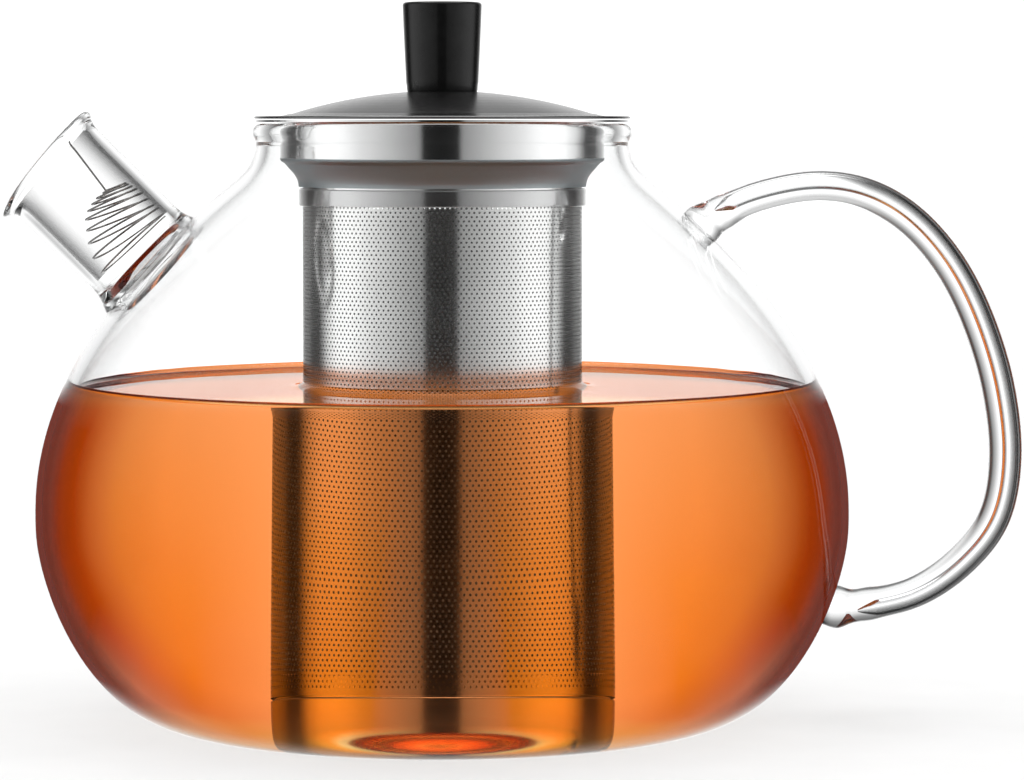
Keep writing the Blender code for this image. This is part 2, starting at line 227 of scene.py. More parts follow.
def lathe(name, profile, material, steps=192, closed=False, sharp=38, matrix=None, warp=None):
    """(r, z) points in mm turned about Z. Points with r = 0 become poles."""
    rings, verts, faces = [], [], []
    for r, z in braced(profile):
        if r < 1e-6:
            rings.append([len(verts)])
            verts.append((0.0, 0.0, z * MM))
        else:
            ids = []
            for i in range(steps):
                a = 2 * math.pi * i / steps
                x, y, zz = r * math.cos(a), r * math.sin(a), z
                if warp:
                    x, y, zz = warp(r, z, a)
                ids.append(len(verts))
                verts.append((x * MM, y * MM, zz * MM))
            rings.append(ids)
    pairs = [(k, k + 1) for k in range(len(rings) - 1)]
    if closed:
        pairs.append((len(rings) - 1, 0))
    for k, m in pairs:
        a, b = rings[k], rings[m]
        if len(a) == 1 and len(b) == 1:
            continue
        for i in range(steps):
            j = (i + 1) % steps
            if len(a) == 1:
                faces.append((a[0], b[j], b[i]))
            elif len(b) == 1:
                faces.append((a[i], a[j], b[0]))
            else:
                faces.append((a[i], a[j], b[j], b[i]))
    return obj_from(name, verts, faces, material, sharp, matrix)


def catmull(stations, per_span):
    n, out = len(stations), []
    for i in range(n - 1):
        q = [stations[max(i - 1, 0)], stations[i], stations[i + 1], stations[min(i + 2, n - 1)]]
        for j in range(per_span):
            t = j / per_span
            out.append(tuple(
                0.5 * (2 * b + (c - a) * t + (2 * a - 5 * b + 4 * c - d) * t * t
                       + (3 * b - a - 3 * c + d) * t ** 3) for a, b, c, d in zip(*q)))
    out.append(tuple(stations[-1]))
    return out


def arc(cx, cz, rx, rz, a0, a1, n):
    """Points of an ellipse from a0 to a1 degrees."""
    return [(cx + rx * math.cos((a0 + (a1 - a0) * i / n) * D2R),
             cz + rz * math.sin((a0 + (a1 - a0) * i / n) * D2R)) for i in range(n + 1)]


def offset(points, distance):
    out = []
    for i, (r, z) in enumerate(points):
        a, b = points[max(i - 1, 0)], points[min(i + 1, len(points) - 1)]
        dr, dz = b[0] - a[0], b[1] - a[1]
        n = math.hypot(dr, dz)
        out.append((r - dz / n * distance, z + dr / n * distance))
    return out


def sweep(name, points, radii, material, sides=16, squash=1.0):
    """A round rod through (x, y, z) mm points, with closed ends."""
    pts = [Vector(p) for p in points]
    n = len(pts)
    tang = [(pts[min(i + 1, n - 1)] - pts[max(i - 1, 0)]).normalized() for i in range(n)]
    side = Vector((0, 1, 0))
    if abs(tang[0].dot(side)) > 0.9:
        side = Vector((1, 0, 0))
    side = (side - tang[0] * side.dot(tang[0])).normalized()
    verts, faces = [], []
    for i in range(n):
        side = (side - tang[i] * side.dot(tang[i])).normalized()
        up = tang[i].cross(side)
        for k in range(sides):
            a = 2 * math.pi * k / sides
            v = pts[i] + (side * math.cos(a) * squash + up * math.sin(a)) * radii[i]
            verts.append(v * MM)
    for i in range(n - 1):
        for k in range(sides):
            m = (k + 1) % sides
            faces.append((i * sides + k, i * sides + m, (i + 1) * sides + m, (i + 1) * sides + k))
    faces.append(tuple(range(sides))[::-1])
    faces.append(tuple(range((n - 1) * sides, n * sides)))
    return obj_from(name, verts, faces, material, 50)


def boolean(obj, cutter, operation="DIFFERENCE"):
    m = obj.modifiers.new("cut", "BOOLEAN")
    m.operation, m.solver, m.object = operation, "EXACT", cutter
    bpy.context.view_layer.update()
    dg = bpy.context.evaluated_depsgraph_get()
    me = bpy.data.meshes.new_from_object(obj.evaluated_get(dg), depsgraph=dg)
    obj.modifiers.clear()
    old = obj.data
    obj.data = me
    bpy.data.meshes.remove(old)
    bpy.data.objects.remove(cutter)
    me.polygons.foreach_set("use_smooth", [True] * len(me.polygons))
    me.set_sharp_from_angle(angle=38 * D2R)
    return obj


# ------------------------------------------------------------------ dimensions (mm)
BASE_R, BELLY_R, LOW_Z, HIGH_Z = 52.0, 83.3, 40.0, 44.0
NECK_R, RIM_TOP, WALL, FLOOR = 38.2, 122.8, 2.3, 2.6
TEA_Z = 69.0
TUBE_R = 28.6


def belly_wall(lower, upper, fillet):
    wall = []
    for i in range(lower + 1):
        th = math.pi / 2 * i / lower
        wall.append((BASE_R + (BELLY_R - BASE_R) * math.sin(th) ** (2 / 2.13),
                     LOW_Z * (1 - max(math.cos(th), 0.0) ** (2 / 1.52))))
    join = 112.6
    for i in range(upper + 1):
        z = HIGH_Z + (join - HIGH_Z) * (i / upper) ** 0.85
        wall.append((BELLY_R * (1 - ((z - HIGH_Z) / 95.7) ** 2), z))
    r0, z0 = wall[-1]
    tilt = math.atan(2 * BELLY_R * (z0 - HIGH_Z) / 95.7 ** 2)
    radius = (r0 - NECK_R) / (1 - math.cos(tilt))
    for i in range(1, fillet + 1):
        a = tilt * (1 - i / fillet)
        wall.append((NECK_R + radius * (1 - math.cos(a)), z0 + radius * (math.sin(tilt) - math.sin(a))))
    return wall


def even(points, gap):
    """The polyline through points again, at about even steps."""
    d = [0.0]
    for a, b in zip(points, points[1:]):
        d.append(d[-1] + math.hypot(b[0] - a[0], b[1] - a[1]))
    n = max(2, int(d[-1] / gap))
    s = np.linspace(0, d[-1], n + 1)
    r = np.interp(s, d, [p[0] for p in points])
    z = np.interp(s, d, [p[1] for p in points])
    return list(zip(r.tolist(), z.tolist()))


def smoothed(points, rounds):
    p = np.array(points)
    for _ in range(rounds):
        p[1:-1] = 0.25 * p[:-2] + 0.5 * p[1:-1] + 0.25 * p[2:]
    return [tuple(v) for v in p.tolist()]


raw = belly_wall(90, 90, 24)
wall = smoothed(even([(40.0, 0.0), *raw], 1.2), 5)
wall = [p for p in wall if p[0] > BASE_R - 6 or p[1] > 1]

# ------------------------------------------------------------------ glass bowl
pot_glass = glass_material("pot_glass_clear", shade_start=0.78, edge=0.40, ior=1.18, shine=0.15, filled=TEA_Z)
outer = [*wall, *catmull([(NECK_R, 117.6), (NECK_R - 0.12, 118.3), (NECK_R - 0.1, 119.0), (NECK_R + 0.2, 119.7),
                          (NECK_R + 0.48, 120.4)], 4), *arc(37.1, 121.1, 1.65, 1.7, -8, 90, 12)]
inner = [*arc(37.1, 121.1, 1.65, 1.7, 104, 188, 10), (35.5, 120.0), (35.68, 119.0), (35.85, 118.2), (35.9, 117.9)]
inner_wall = offset(wall, WALL)
inner_wall = [p for p in inner_wall if p[1] > FLOOR + 0.05]
inner_low = [(0.0, FLOOR), (20.0, FLOOR), (36.0, FLOOR), (44.0, FLOOR)]
bowl_profile = [(0.0, 0.55), (20.0, 0.5), (36.0, 0.32), (43.0, 0.0), *outer, *inner, *reversed(inner_wall),
                *reversed(inner_low)]
bowl = lathe("glass_bowl", bowl_profile, pot_glass, steps=224)

spout_u = Vector((-math.sin(45 * D2R), 0, math.cos(45 * D2R)))
SPOUT = Matrix.Translation((-0.0622, 0, 0.0964)) @ Matrix.Rotation(-45 * D2R, 4, "Y")
bore = lathe("bore_tool", [(0, -15), (10.1, -15), (10.1, 15), (0, 15)], None, steps=96, matrix=SPOUT)
boolean(bowl, bore)
bowl.visible_diffuse = False
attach(bowl, "pot")
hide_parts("bowl")


def solid_of_wall(shrink):
    """The inside of the bowl's outer side, moved inwards by shrink mm."""
    side = offset(wall, shrink)
    return lathe("wall_tool", [(0, 0.2), *[p for p in side if p[1] > 0.25], (NECK_R - shrink, 124.0), (0, 124.0)],
                 None, steps=192)


# ------------------------------------------------------------------ glass spout
SL, SR, SB = 27.0, 11.8, 10.1


def spout_warp(r, z, a):
    """The mouth is cut on a skew, with a drip lip on its lower side."""
    near = max(0.0, min(1.0, (z - 12.0) / 15.0)) ** 1.5
    lower = -math.cos(a)  # 1 on the side that faces down
    lip = max(0.0, lower) ** 6 * max(0.0, min(1.0, (z - SL + 3.6) / 3.6)) ** 1.6
    zz = z + near * (-1.17 * lower) - 0.9 * lip
    rr = r + 1.55 * lip
    return rr * math.cos(a), rr * math.sin(a), zz


spout_out = catmull([(14.6, -9.0), (14.0, -5.6), (13.1, -3.0), (12.3, -1.0), (11.9, 1.6), (11.8, 5.0), (11.8, 12.0),
                     (11.8, 18.5), (11.85, 22.0), (12.1, 24.2), (12.65, 25.4)], 5)
spout_profile = [*spout_out, *arc(12.15, 26.2, 0.95, 0.85, -35, 190, 16)[1:],
                 *catmull([(10.95, 25.2), (10.35, 23.6), (10.12, 21.2), (SB, 16.0), (SB, 8.0), (SB, 0.0), (SB, -9.0)], 5)]
spout = lathe("glass_spout", spout_profile, glass_material("spout_glass_clear", ripple=0.03, edge=0.5, shade_start=0.8), steps=128,
              closed=True, sharp=60, matrix=None, warp=spout_warp)
spout.data.transform(SPOUT)
boolean(spout, solid_of_wall(0.12))
# The bore's faces take a much stronger painted shade toward grazing angles: the dark bands along the spout's walls are
# painted.
bore_glass = glass_material("spout_bore_clear", ripple=0.03, edge=0.06, shade_start=0.36)
stops = [n for n in bore_glass.node_tree.nodes if n.type == "VALTORGB"][0].color_ramp.elements
for stop, (pos, v) in zip(stops, ((0.05, 1.0), (0.24, 0.64), (0.42, 0.22), (0.62, 0.03))):
    stop.position, stop.color = pos, (v, v, v, 1.0)
spout.data.materials.append(bore_glass)
axis_inv = SPOUT.inverted()
for f in spout.data.polygons:
    c = axis_inv @ f.center
    if math.hypot(c.x, c.y) < 10.95 * MM and 1.5 * MM < c.z < 25.0 * MM:
        f.material_index = len(spout.data.materials) - 1
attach(spout, "pot")
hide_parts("spout")

# ------------------------------------------------------------------ glass handle
stations = [(49.0, 98.6), (55.6, 103.7), (64.4, 107.7), (75.8, 109.9), (86.0, 108.7),
            (95.2, 103.8), (103.2, 95.2), (109.3, 84.0), (113.9, 69.8), (115.7, 55.0),
            (113.7, 42.4), (107.2, 33.3), (97.6, 26.6), (86.2, 23.8), (76.0, 23.4)]
path = catmull(stations, 12)
length = [0.0]
for a, b in zip(path, path[1:]):
    length.append(length[-1] + math.hypot(b[0] - a[0], b[1] - a[1]))
total = length[-1]


def handle_radius(s):
    top, low = s, total - s
    r = 3.15
    r += 0.25 * math.exp(-((s - 0.56 * total) / (0.22 * total)) ** 2)
    r += 1.25 * math.exp(-((top - 5.2) / 3.0) ** 2) + 0.35 * math.exp(-((top - 10.5) / 2.0) ** 2)
    r += 1.35 * math.exp(-((low - 5.0) / 2.6) ** 2) + 0.3 * math.exp(-((low - 11.5) / 2.4) ** 2)
    return r


handle_mat = glass_material("handle_glass_clear", ripple=0.03, edge=0.34, shade_start=0.34)
handle = sweep("glass_handle", [(x, 0.0, z) for x, z in path], [handle_radius(s) for s in length], handle_mat,
               sides=40)
boolean(handle, solid_of_wall(0.12))
channel = []
for i, (x, z) in enumerate(path):
    a, b = path[max(i - 1, 0)], path[min(i + 1, len(path) - 1)]
    n = math.hypot(b[0] - a[0], b[1] - a[1])
    if 9.0 < length[i] < total - 9.0:
        channel.append((x - (b[1] - a[1]) / n * 0.75, 0.0, z + (b[0] - a[0]) / n * 0.75))
grow = [min(1.0, 0.15 + 0.2 * min(i, len(channel) - 1 - i)) for i in range(len(channel))]
hollow = sweep("channel_tool", channel, [1.25 * f for f in grow], None, sides=32)
boolean(handle, hollow)
mid = np.array(path) * MM
along = np.gradient(mid, axis=0)
along /= np.linalg.norm(along, axis=1)[:, None]
width = np.array([handle_radius(v) for v in length]) * MM
# Painted shade: the attribute marks the rod's outer side, which the handle's glass paints darker, weaker near the upper
# joint.
shade_of = handle.data.attributes.new("outer", "FLOAT", "POINT")
for i, v in enumerate(handle.data.vertices):
    d = np.array([v.co.x, v.co.z]) - mid
    k = int(np.argmin((d ** 2).sum(axis=1)))
    side_of = float((-along[k, 1] * d[k, 0] + along[k, 0] * d[k, 1]) / width[k])
    strong = min(1.0, max(0.0, (length[k] / total - 0.13) / 0.12))
    shade_of.data[i].value = (side_of + 1.0) * (0.25 + 0.75 * strong) - 1.0
g = Graph.__new__(Graph)
g.t = handle_mat.node_tree
shader = [n for n in g.t.nodes if n.type == "BSDF_PRINCIPLED"][0]
where = g.node("ShaderNodeAttribute")
where.attribute_name = "outer"
# Painted shade: the rod's outer side is darkened down to 0.03 of its colour.
painted_side_shade = g.ramp(g.math("MULTIPLY_ADD", where.outputs["Fac"], 0.5, 0.5),
               [(0.0, 1.0), (0.55, 1.0), (0.66, 0.62), (0.80, 0.34), (0.93, 0.12), (1.0, 0.03)])
plain = shader.inputs["Base Color"].links[0].from_socket
both = g.node("ShaderNodeMix")
both.data_type, both.blend_type = "RGBA", "MULTIPLY"
both.inputs[0].default_value = 1.0
g.put(both.inputs[6], plain)
g.put(both.inputs[7], painted_side_shade)
g.put(shader.inputs["Base Color"], both.outputs[2])
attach(handle, "pot")
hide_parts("handle")

# ------------------------------------------------------------------ tea
tea_mat, g, out = new_material("tea_liquor")
p = g.node("ShaderNodeBsdfPrincipled")
coord = g.node("ShaderNodeTexCoord")
xyz = g.node("ShaderNodeSeparateXYZ")
g.put(xyz.inputs[0], coord.outputs["Object"])
high = g.math("MULTIPLY", xyz.outputs["Z"], 1000.0 / 72.0)
cloud = g.noise(g.mapping((1, 1, 1)), 30.0, 2.0)
level = g.math("MULTIPLY_ADD", g.math("SUBTRACT", cloud, 0.5), 0.12, high)
tint = g.ramp(level, [(0.0, (0.84, 0.58, 0.22)), (0.045, (0.84, 0.58, 0.22)), (0.08, (0.84, 0.30, 0.03)), (0.13, (0.76, 0.12, 0.001)), (0.25, (0.72, 0.125, 0.0006)),
                      (0.5, (0.77, 0.175, 0.010)), (0.8, (0.77, 0.235, 0.055)), (0.97, (0.78, 0.27, 0.09))])
# The layer of tea in front of the infuser is thin and so it is paler there.
away = g.math("MULTIPLY", g.math("ABSOLUTE", xyz.outputs["X"]), 20.0)
thin = g.ramp(away, [(0.0, 1.0), (0.4, 0.8), (0.92, 0.0), (1.0, 0.0)])
base_off = g.ramp(xyz.outputs["Z"], [(0.0, 0.0), (0.0035, 0.0), (0.007, 1.0), (1.0, 1.0)])
tint = g.mix(g.math("MULTIPLY", thin, base_off), tint, (0.95, 0.33, 0.11, 1.0))
# Painted shade: at the liquor's outline the tint turns dark red, by the angle to the view.
lw = g.node("ShaderNodeLayerWeight")
lw.inputs["Blend"].default_value = 0.5
rim = g.ramp(lw.outputs["Facing"], [(0.0, 0.0), (0.29, 0.0), (0.34, 0.5), (0.385, 1.0), (0.45, 1.0), (0.55, 0.0)])
under = g.ramp(xyz.outputs["Z"], [(0.0, 0.0), (0.006, 0.0), (0.022, 1.0), (0.066, 1.0), (0.068, 0.0), (1.0, 0.0)])
# Low down, the painted rim shade falls on the outline only and not on the wall behind and in front of the infuser.
above = g.ramp(xyz.outputs["Z"], [(0.0, 0.0), (0.056, 0.0), (0.066, 1.0), (1.0, 1.0)])
flank = g.ramp(away, [(0.0, 0.0), (0.68, 0.0), (0.96, 1.0), (1.0, 1.0)])
rim = g.math("MULTIPLY", g.math("MULTIPLY", rim, under), g.math("MAXIMUM", above, flank))
rim_shaded_tint = g.mix(rim, tint, (0.62, 0.036, 0.0, 1.0))
g.put(p.inputs["Base Color"], rim_shaded_tint)
p.inputs["Roughness"].default_value = 0.0
p.inputs["IOR"].default_value = 1.23
p.inputs["Transmission Weight"].default_value = 1.0
enter = g.node("ShaderNodeBsdfRefraction")
enter.inputs["Roughness"].default_value = 0.0
enter.inputs["IOR"].default_value = 1.23
root = g.node("ShaderNodeGamma")
root.inputs["Gamma"].default_value = 0.5
g.put(root.inputs["Color"], rim_shaded_tint)
g.put(enter.inputs["Color"], root.outputs[0])
side = g.node("ShaderNodeNewGeometry")
skin = g.node("ShaderNodeMixShader")
rising = g.ramp(xyz.outputs["Z"], [(0.0, 0.0), (0.0685, 0.0), (0.0692, 1.0), (1.0, 1.0)])
g.put(skin.inputs[0], g.math("MAXIMUM", side.outputs["Backfacing"], rising))
g.put(skin.inputs[1], enter.outputs[0])
g.put(skin.inputs[2], p.outputs[0])
clear_to_shadow(g, out, skin.outputs[0], (0.99, 0.985, 0.98))

tea_side = [q for q in offset(wall, WALL - 0.06) if FLOOR + 0.1 < q[1] < TEA_Z]
tea_top_r = tea_side[-1][0]
surface = []
for d in (0.0, 0.15, 0.35, 0.6, 0.9, 1.3, 1.8, 2.5, 3.4, 4.6, 6.5):
    surface.append((tea_top_r - d, TEA_Z + 1.3 * math.exp(-d / 1.1)))
for d in (5.0, 3.4, 2.3, 1.5, 0.9, 0.5, 0.2, 0.0):
    surface.append((TUBE_R + d, TEA_Z + 1.0 * math.exp(-d / 1.0)))
tea_profile = [(0.0, FLOOR - 0.05), (44.0, FLOOR - 0.05), *tea_side, *surface, (TUBE_R - 0.2, TEA_Z + 0.7),
               (TUBE_R - 1.0, TEA_Z + 0.2), (TUBE_R - 3, TEA_Z), (12.0, TEA_Z), (0.0, TEA_Z)]
tea = lathe("tea", tea_profile, tea_mat, steps=224, sharp=60)
tea.visible_diffuse = False
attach(tea, "pot")

# ------------------------------------------------------------------ infuser
collar_mat = steel_material("collar_satin_steel", (0.82, 0.82, 0.82), 0.10, (60, 60, 900), 0.02, spread=0.03)
band_mat = steel_material("band_satin_steel", (0.50, 0.50, 0.50), 0.13, (60, 60, 900), 0.02, spread=0.03)
sheet_mat = steel_material("etched_sheet_steel", (0.74, 0.74, 0.73), 0.13, (500, 500, 500), 0.03, spread=0.04)
g = Graph.__new__(Graph)
g.t = collar_mat.node_tree
shader = [n for n in g.t.nodes if n.type == "BSDF_PRINCIPLED"][0]
coord = g.node("ShaderNodeTexCoord")
xyz = g.node("ShaderNodeSeparateXYZ")
g.put(xyz.inputs[0], coord.outputs["Object"])
# The cone is rougher, a satin finish, and painted a darker bluish grey: the darker colour is painted shade.
level = g.math("MULTIPLY_ADD", xyz.outputs["Z"], 1000.0, -115.0)
cone_satin_and_shade = g.ramp(level, [(0.0, 1.0), (0.35, 1.0), (0.6, 0.0), (1.0, 0.0)])
plain = shader.inputs["Roughness"].links[0].from_socket
g.put(shader.inputs["Roughness"], g.math("MULTIPLY_ADD", cone_satin_and_shade, 0.38, plain))
plain = shader.inputs["Base Color"].links[0].from_socket
g.put(shader.inputs["Base Color"], g.mix(cone_satin_and_shade, plain, (0.34, 0.39, 0.41, 1.0)))

g = Graph.__new__(Graph)
g.t = sheet_mat.node_tree
shader = [n for n in g.t.nodes if n.type == "BSDF_PRINCIPLED"][0]
side = g.node("ShaderNodeNewGeometry")
plain = shader.inputs["Roughness"].links[0].from_socket
g.put(shader.inputs["Roughness"], g.math("MULTIPLY_ADD", side.outputs["Backfacing"], 0.25, plain))
shader.inputs["Specular Tint"].default_value = (0.35, 0.35, 0.35, 1.0)
cup_mat = steel_material("cup_spun_steel", (0.95, 0.95, 0.94), 0.14, (60, 60, 1500), 0.02, spread=0.04)
[n for n in cup_mat.node_tree.nodes if n.type == "BSDF_PRINCIPLED"][0].inputs["Specular Tint"].default_value = (
    0.35, 0.35, 0.35, 1.0)

T = 0.4
collar_out = [(38.4, 123.1), *arc(34.1, 122.2, 0.9, 0.9, 90, 180, 6), (33.2, 119.0), (33.2, 116.2),
              *arc(32.2, 115.6, 1.0, 1.2, 0, -42, 6)]
cone = catmull([(32.3, 114.3), (31.2, 112.6), (30.2, 111.1), (29.6, 110.0), (29.4, 109.3)], 4)
collar_side = [(38.4, 123.5), (38.4, 123.1), *collar_out[1:], *cone]
collar_in = [(29.0, 109.3), (29.2, 110.1), (29.9, 111.4), (30.9, 112.9), (31.9, 114.4), (32.6, 115.7), (32.8, 116.6),
             (32.8, 122.6), (33.0, 123.1), (33.3, 123.4), (33.7, 123.5)]
collar = lathe("infuser_collar_fine", [*collar_side, *collar_in], collar_mat, steps=192, closed=True, sharp=45)
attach(collar, "infuser")
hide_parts("infuser_collar")

band = lathe("infuser_band_fine", [(28.9, 109.0), (29.3, 109.0), (29.4, 108.9), (29.4, 106.0), (29.35, 105.85),
                                   (29.2, 105.8), (28.9, 105.8)], band_mat, steps=192, closed=True, sharp=45)
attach(band, "infuser")
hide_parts("infuser_band")

COLS, PITCH = 171, 0.834
TUBE_LOW, CUP = 15.9, 7.3
Z0, ROWS, HOLE = TUBE_LOW + 1.3, 106, 0.235


def perforated(name, row0, row1, below=None, above=None):
    """Rows row0 to row1 of a sheet rolled into a tube, with a hexagonal hole in each cell."""
    wide = 2 * math.pi * TUBE_R / COLS
    verts, faces = [], []

    def at(u, z):
        a = u / TUBE_R
        verts.append((TUBE_R * math.sin(a) * MM, -TUBE_R * math.cos(a) * MM, z * MM))
        return len(verts) - 1

    edge = {}
    for j in range(row0 - 1, row1 + 1):
        z = Z0 + j * PITCH
        shift = 0.5 * (j % 2)
        for i in range(COLS):
            edge["u", j, i] = at((i + shift) * wide, z + 2 * PITCH / 3)
            edge["v", j, i] = at((i + shift + 0.5) * wide, z + PITCH / 3)
    for j in range(row0, row1 + 1):
        z = Z0 + j * PITCH
        odd = j % 2
        shift = 0.5 * odd
        for i in range(COLS):
            corners = [
                edge["u", j, i], edge["v", j, i],
                edge["u", j - 1, (i + (1 if odd else 0)) % COLS],
                edge["v", j - 1, (i if odd else i - 1) % COLS],
                edge["u", j - 1, (i + (0 if odd else -1)) % COLS],
                edge["v", j, (i - 1) % COLS],
            ]
            hole = []
            for k in range(6):
                t = math.pi / 2 - k * math.pi / 3
                hole.append(at((i + shift) * wide + HOLE * math.cos(t), z + HOLE * math.sin(t)))
            for k in range(6):
                m = (k + 1) % 6
                faces.append((corners[k], corners[m], hole[m], hole[k]))
    for level, j in ((below, row0 - 1), (above, row1)):
        if level is None:
            continue
        shift = 0.5 * (j % 2)
        zig = []
        for i in range(COLS):
            zig += [(edge["u", j, i], (i + shift) * wide), (edge["v", j, i], (i + shift + 0.5) * wide)]
        ring = [at(u, level) for _, u in zig]
        n = len(zig)
        for k in range(n):
            m = (k + 1) % n
            faces.append((zig[k][0], zig[m][0], ring[m], ring[k]))
    return obj_from(name, verts, faces, sheet_mat)


# In a row pair the corners below an even row are the odd row's, half a pitch to the left.
low_tube = perforated("perforated_tube_low", 0, 52, below=TUBE_LOW)
high_tube = perforated("perforated_tube_high", 53, ROWS, above=110.1)
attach(low_tube, "infuser")
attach(high_tube, "infuser")
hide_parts("infuser_tube")

# A one-sided grey sheet just behind the holes is painted shade: from outside they read as small dark pits, from inside
# it is not there.
shade_mat, g, out = new_material("hole_shade")
p = g.node("ShaderNodeBsdfPrincipled")
shade_noise = g.noise(g.mapping((1, 1, 1)), 400.0, 2.0)
g.put(p.inputs["Base Color"], g.ramp(shade_noise, [(0.3, (0.26, 0.26, 0.26)), (0.7, (0.38, 0.38, 0.38))]))
p.inputs["Roughness"].default_value = 0.8
side = g.node("ShaderNodeNewGeometry")
clear = g.node("ShaderNodeBsdfTransparent")
both = g.node("ShaderNodeMixShader")
g.put(both.inputs[0], side.outputs["Backfacing"])
g.put(both.inputs[1], p.outputs[0])
g.put(both.inputs[2], clear.outputs[0])
g.put(out.inputs["Surface"], both.outputs[0])
g = Graph.__new__(Graph)
g.t = cup_mat.node_tree
shader = [n for n in g.t.nodes if n.type == "BSDF_PRINCIPLED"][0]
coord = g.node("ShaderNodeTexCoord")
xyz = g.node("ShaderNodeSeparateXYZ")
g.put(xyz.inputs[0], coord.outputs["Object"])
# Painted shade and a painted reflection of the tea: the cup's bottom is a darker warm grey.
under_cup_shade = g.ramp(g.math("MULTIPLY", xyz.outputs["Z"], 20.0), [(0.0, 1.0), ((CUP + 0.15) * 0.02, 1.0), ((CUP + 1.2) * 0.02, 0.0), (1.0, 0.0)])
plain = shader.inputs["Base Color"].links[0].from_socket
g.put(shader.inputs["Base Color"], g.mix(under_cup_shade, plain, (0.42, 0.38, 0.34, 1.0)))

shade = lathe("perforated_tube_shade", [(TUBE_R - 0.4, 105.2), (TUBE_R - 0.4, TUBE_LOW + 3.2)], shade_mat, steps=171)
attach(shade, "infuser")

cup_out = [(0.0, CUP), (18.0, CUP), (23.4, CUP), *arc(24.6, CUP + 4.0, 4.0, 4.0, -90, 0, 14), (28.6, TUBE_LOW - 0.4)]
cup = lathe("infuser_cup_fine", [
    (0.0, CUP + T), (23.0, CUP + T), *arc(24.4, CUP + 4.0, 3.6, 3.6, -90, 0, 12), (28.2, TUBE_LOW - 1.0),
    (27.5, TUBE_LOW - 0.4), (27.5, TUBE_LOW + 3.0), (27.9, TUBE_LOW + 3.0), (27.9, TUBE_LOW - 0.25),
    (28.5, TUBE_LOW - 0.3), *reversed(cup_out)], cup_mat, steps=192, sharp=45)
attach(cup, "infuser")
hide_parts("infuser_base")

# ------------------------------------------------------------------ lid
lid_mat = steel_material("lid_brushed_steel", (0.17, 0.17, 0.17), 0.24, (900, 900, 60), 0.06, spread=0.08)
[n for n in lid_mat.node_tree.nodes if n.type == "BSDF_PRINCIPLED"][0].inputs["Specular Tint"].default_value = (
    0.9, 0.9, 0.9, 1.0)
ring_mat = steel_material("skirt_satin_steel", (0.72, 0.72, 0.72), 0.25, (60, 60, 900), 0.03)
BRIM = 124.3
rise = 129.5 - BRIM
cap_r = (32.2 ** 2 + rise ** 2) / (2 * rise)


def dome(r, drop=0.0):
    return 129.5 - cap_r + math.sqrt((cap_r - drop) ** 2 - r * r)


rs = [2.3, 5.0, 8.0, 11.0, 14.0, 17.0, 20.0, 22.5, 25.0, 27.0, 29.0, 30.6]
cap = lathe("lid_dome_fine", [
    *[(r, dome(r)) for r in rs], (31.5, BRIM + 0.42), (32.3, BRIM + 0.18), (33.2, BRIM + 0.04), (34.5, BRIM),
    (38.0, BRIM), (38.25, BRIM - 0.05), (38.4, BRIM - 0.2), (38.4, BRIM - 0.4), (38.3, BRIM - 0.5), (33.2, BRIM - 0.5),
    (32.0, BRIM - 0.4), *[(r, dome(r, 0.5)) for r in reversed(rs[:-1])]], lid_mat, steps=192, closed=True, sharp=45)
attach(cap, "lid")
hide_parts("lid_dome")

skirt = lathe("lid_skirt_fine", [(31.8, 123.5), (32.3, 123.5), (32.3, 117.0), (32.2, 116.7), (32.0, 116.5),
                                 (31.8, 116.5)], ring_mat, steps=160, closed=True, sharp=45)
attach(skirt, "lid")
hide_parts("lid_skirt")

knob_mat, g, out = new_material("knob_gloss_black")
p = g.node("ShaderNodeBsdfPrincipled")
haze = g.noise(g.mapping((1, 1, 1)), 260.0, 4.0)
g.put(p.inputs["Base Color"], g.ramp(haze, [(0.3, (0.006, 0.006, 0.006)), (0.7, (0.012, 0.012, 0.012))]))
g.put(p.inputs["Roughness"], g.math("MULTIPLY_ADD", haze, 0.05, 0.12))
p.inputs["IOR"].default_value = 1.52
p.inputs["Specular IOR Level"].default_value = 0.25
g.put(p.inputs["Normal"], g.bump(haze, 0.03, 0.0004))
g.put(out.inputs["Surface"], p.outputs[0])
knob = lathe("knob_fine", [
    (0.0, 147.42), (4.0, 147.46), (7.2, 147.5), *arc(7.45, 146.85, 0.65, 0.65, 90, 0, 6), (7.95, 143.0), (7.68, 137.0),
    (7.4, 131.2), (7.3, 130.6), (7.25, 129.7), (7.1, 129.25), (3.5, 129.25), (3.5, 140.0), (0.0, 140.0)],
    knob_mat, steps=128, sharp=35)
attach(knob, "lid")
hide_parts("knob")

# ------------------------------------------------------------------ spout filter
wire_mat = steel_material("drawn_wire_steel", (0.30, 0.29, 0.28), 0.24, (800, 800, 800), 0.03)
coil_stations = [
    (-62.55, 97.3, 46.0, 8.6), (-63.75, 98.8, 38.0, 8.6), (-65.15, 101.1, 32.0, 8.2),
    (-65.85, 102.8, 26.0, 7.5), (-66.65, 104.7, 23.0, 6.9), (-67.15, 106.3, 22.0, 6.3),
    (-67.35, 107.5, 22.0, 5.2), (-67.45, 108.4, 22.0, 4.2), (-67.25, 109.2, 22.0, 3.2),
    (-66.85, 109.8, 22.0, 2.2)]
per = 30
coil = []
for i, (cx, cz, tilt, r) in enumerate(catmull(coil_stations, per)):
    a = 2 * math.pi * i / per
    across = r * math.cos(a)
    coil.append((cx + across * math.cos(tilt * D2R), r * math.sin(a), cz + across * math.sin(tilt * D2R)))
cx, cz, tilt, r = coil_stations[-1]
for i in range(1, per // 2 + 1):
    a = 2 * math.pi * i / per
    grow = r * (1 + 0.05 * i / per)
    across = grow * math.cos(a)
    coil.append((cx + across * math.cos(tilt * D2R), grow * math.sin(a),
                 cz + 0.35 * i / per + across * math.sin(tilt * D2R)))
x0, y0, z0 = coil[-1]
